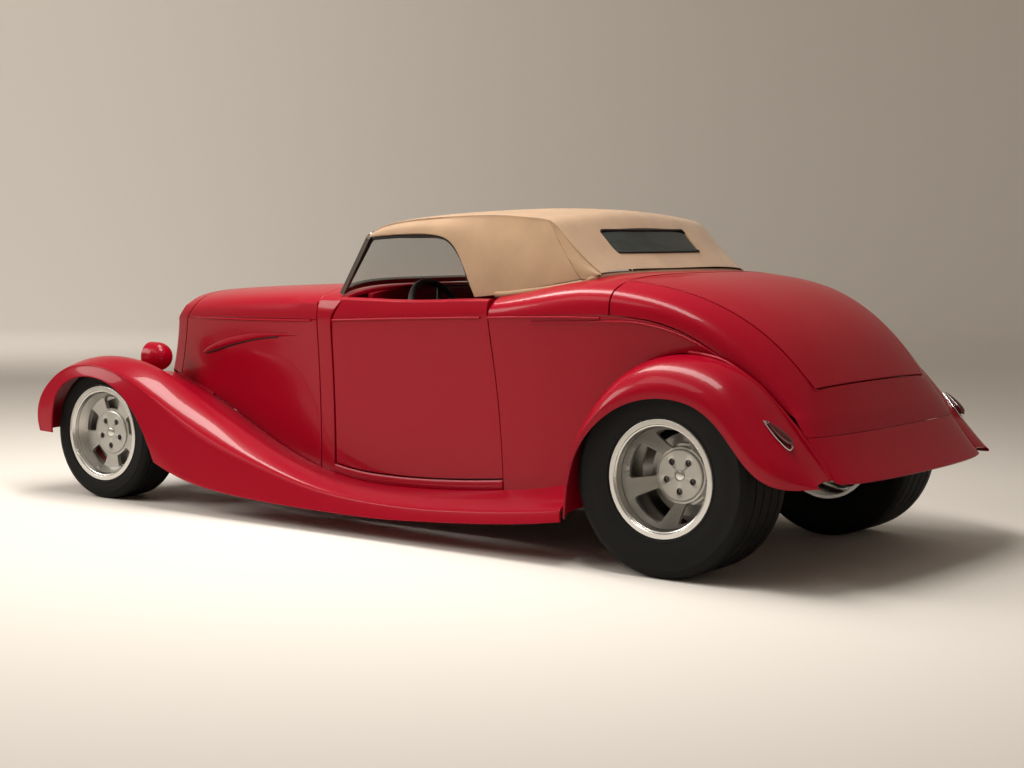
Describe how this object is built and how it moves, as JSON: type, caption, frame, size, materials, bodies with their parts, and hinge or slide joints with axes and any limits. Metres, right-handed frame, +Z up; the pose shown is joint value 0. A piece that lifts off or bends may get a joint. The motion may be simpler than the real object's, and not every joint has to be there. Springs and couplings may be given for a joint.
{
  "type": "hot rod roadster car",
  "caption": "Low two-seat open car with full fenders, running boards, wide rear tyres, folding fabric top and sloping rear deck with opening doors, hood halves and deck lid.",
  "frame": {"origin": "middle of the car's length and width, on the ground under the wheels", "axes": "+X forward, +Y to the driver's left, +Z up"},
  "size_m": [3.9278, 1.6042, 1.2841],
  "materials": {
    "body_paint": "deep crimson red in high gloss",
    "frame_black": "satin black chassis paint",
    "engine_metal": "cast and painted metal, plain block",
    "chrome": "polished",
    "bronze_frame": "dark bronze frame with black seal",
    "tinted_glass": "lightly tinted safety glass",
    "lamp_glass": "clear lamp glass",
    "tail_lens": "dark red lens in a bright bezel",
    "canvas": "tan canvas with a fine weave",
    "dark_glass": "smoked rear window",
    "leather": "dark leather, pleated",
    "grip_black": "black leather rim",
    "axle_metal": "polished and satin metal",
    "tyre": "black rubber with moulded sidewall",
    "wheel_metal": "satin centre with polished lip"
  },
  "bodies": {
    "root": {"chassis_frame": "frame_black", "floor_pan": "frame_black", "engine_block": "engine_metal", "grille_shell": "body_paint", "grille_bars": "chrome", "hood_side_left": "body_paint", "hood_side_right": "body_paint", "cowl": "body_paint", "windshield_frame": "bronze_frame", "windshield_glass": "tinted_glass", "sills": "body_paint", "quarter_left": "body_paint", "quarter_right": "body_paint", "deck_front": "body_paint", "deck_rear": "body_paint", "rear_pan": "body_paint", "front_fender_left": "body_paint", "front_fender_right": "body_paint", "rear_fender_left": "body_paint", "rear_fender_right": "body_paint", "headlights": "body_paint", "headlight_lenses": "lamp_glass", "tail_lights": "tail_lens", "soft_top": "canvas", "rear_window": "dark_glass", "seat": "leather", "steering_column": "frame_black", "front_axle": "frame_black", "rear_axle": "axle_metal"},
    "door_left": {"door_left": "body_paint"},
    "door_right": {"door_right": "body_paint"},
    "hood_left": {"hood_left": "body_paint"},
    "hood_right": {"hood_right": "body_paint"},
    "deck_lid": {"deck_lid": "body_paint"},
    "steering_wheel": {"steering_wheel": "grip_black"},
    "knuckle_left": {"knuckle_left": "axle_metal"},
    "knuckle_right": {"knuckle_right": "axle_metal"},
    "wheel_front_left": {"wheel_front_left": "wheel_metal", "tyre_front_left": "tyre"},
    "wheel_front_right": {"wheel_front_right": "wheel_metal", "tyre_front_right": "tyre"},
    "wheel_rear_left": {"wheel_rear_left": "wheel_metal", "tyre_rear_left": "tyre"},
    "wheel_rear_right": {"wheel_rear_right": "wheel_metal", "tyre_rear_right": "tyre"}
  },
  "joints": [
    {"name": "door_left_hinge", "type": "hinge", "parent": "root", "child": "door_left", "pos_m": [0.35158, 0.5941, 0.6], "axis": [0, 0, -1], "range_deg": [0, 62]},
    {"name": "door_right_hinge", "type": "hinge", "parent": "root", "child": "door_right", "pos_m": [0.35158, -0.5941, 0.6], "axis": [0, 0, 1], "range_deg": [0, 62]},
    {"name": "hood_left_hinge", "type": "hinge", "parent": "root", "child": "hood_left", "pos_m": [0.44158, 0, 0.964], "axis": [0.9981, 0, -0.0617], "range_deg": [0, 52]},
    {"name": "hood_right_hinge", "type": "hinge", "parent": "root", "child": "hood_right", "pos_m": [0.44158, 0, 0.964], "axis": [-0.9981, 0, 0.0617], "range_deg": [0, 52]},
    {"name": "deck_lid_hinge", "type": "hinge", "parent": "root", "child": "deck_lid", "pos_m": [-1.03792, 0, 1.0475], "axis": [0, 1, 0], "range_deg": [0, 58]},
    {"name": "steer_left", "type": "hinge", "parent": "root", "child": "knuckle_left", "pos_m": [1.53508, 0.622, 0.2835], "axis": [0, 0, 1], "range_deg": [-22, 22]},
    {"name": "steer_right", "type": "hinge", "parent": "root", "child": "knuckle_right", "pos_m": [1.53508, -0.622, 0.2835], "axis": [0, 0, 1], "range_deg": [-22, 22]},
    {"name": "steering_wheel_turn", "type": "hinge", "parent": "root", "child": "steering_wheel", "pos_m": [-0.00542, 0.35, 0.838], "axis": [-0.9063, 0, 0.4226], "range_deg": [-310, 310]},
    {"name": "spin_front_left", "type": "hinge", "parent": "knuckle_left", "child": "wheel_front_left", "pos_m": [1.53508, 0.7134, 0.2835], "axis": [0, 1, 0], "continuous": true},
    {"name": "spin_front_right", "type": "hinge", "parent": "knuckle_right", "child": "wheel_front_right", "pos_m": [1.53508, -0.7134, 0.2835], "axis": [0, 1, 0], "continuous": true},
    {"name": "spin_rear_left", "type": "hinge", "parent": "root", "child": "wheel_rear_left", "pos_m": [-1.30992, 0.664, 0.3505], "axis": [0, 1, 0], "continuous": true},
    {"name": "spin_rear_right", "type": "hinge", "parent": "root", "child": "wheel_rear_right", "pos_m": [-1.30992, -0.664, 0.3505], "axis": [0, 1, 0], "continuous": true}
  ],
  "couplings": [
    {"joint": "steer_right", "follows": "steer_left", "ratio": 1},
    {"joint": "steering_wheel_turn", "follows": "steer_left", "ratio": 14}
  ]
}
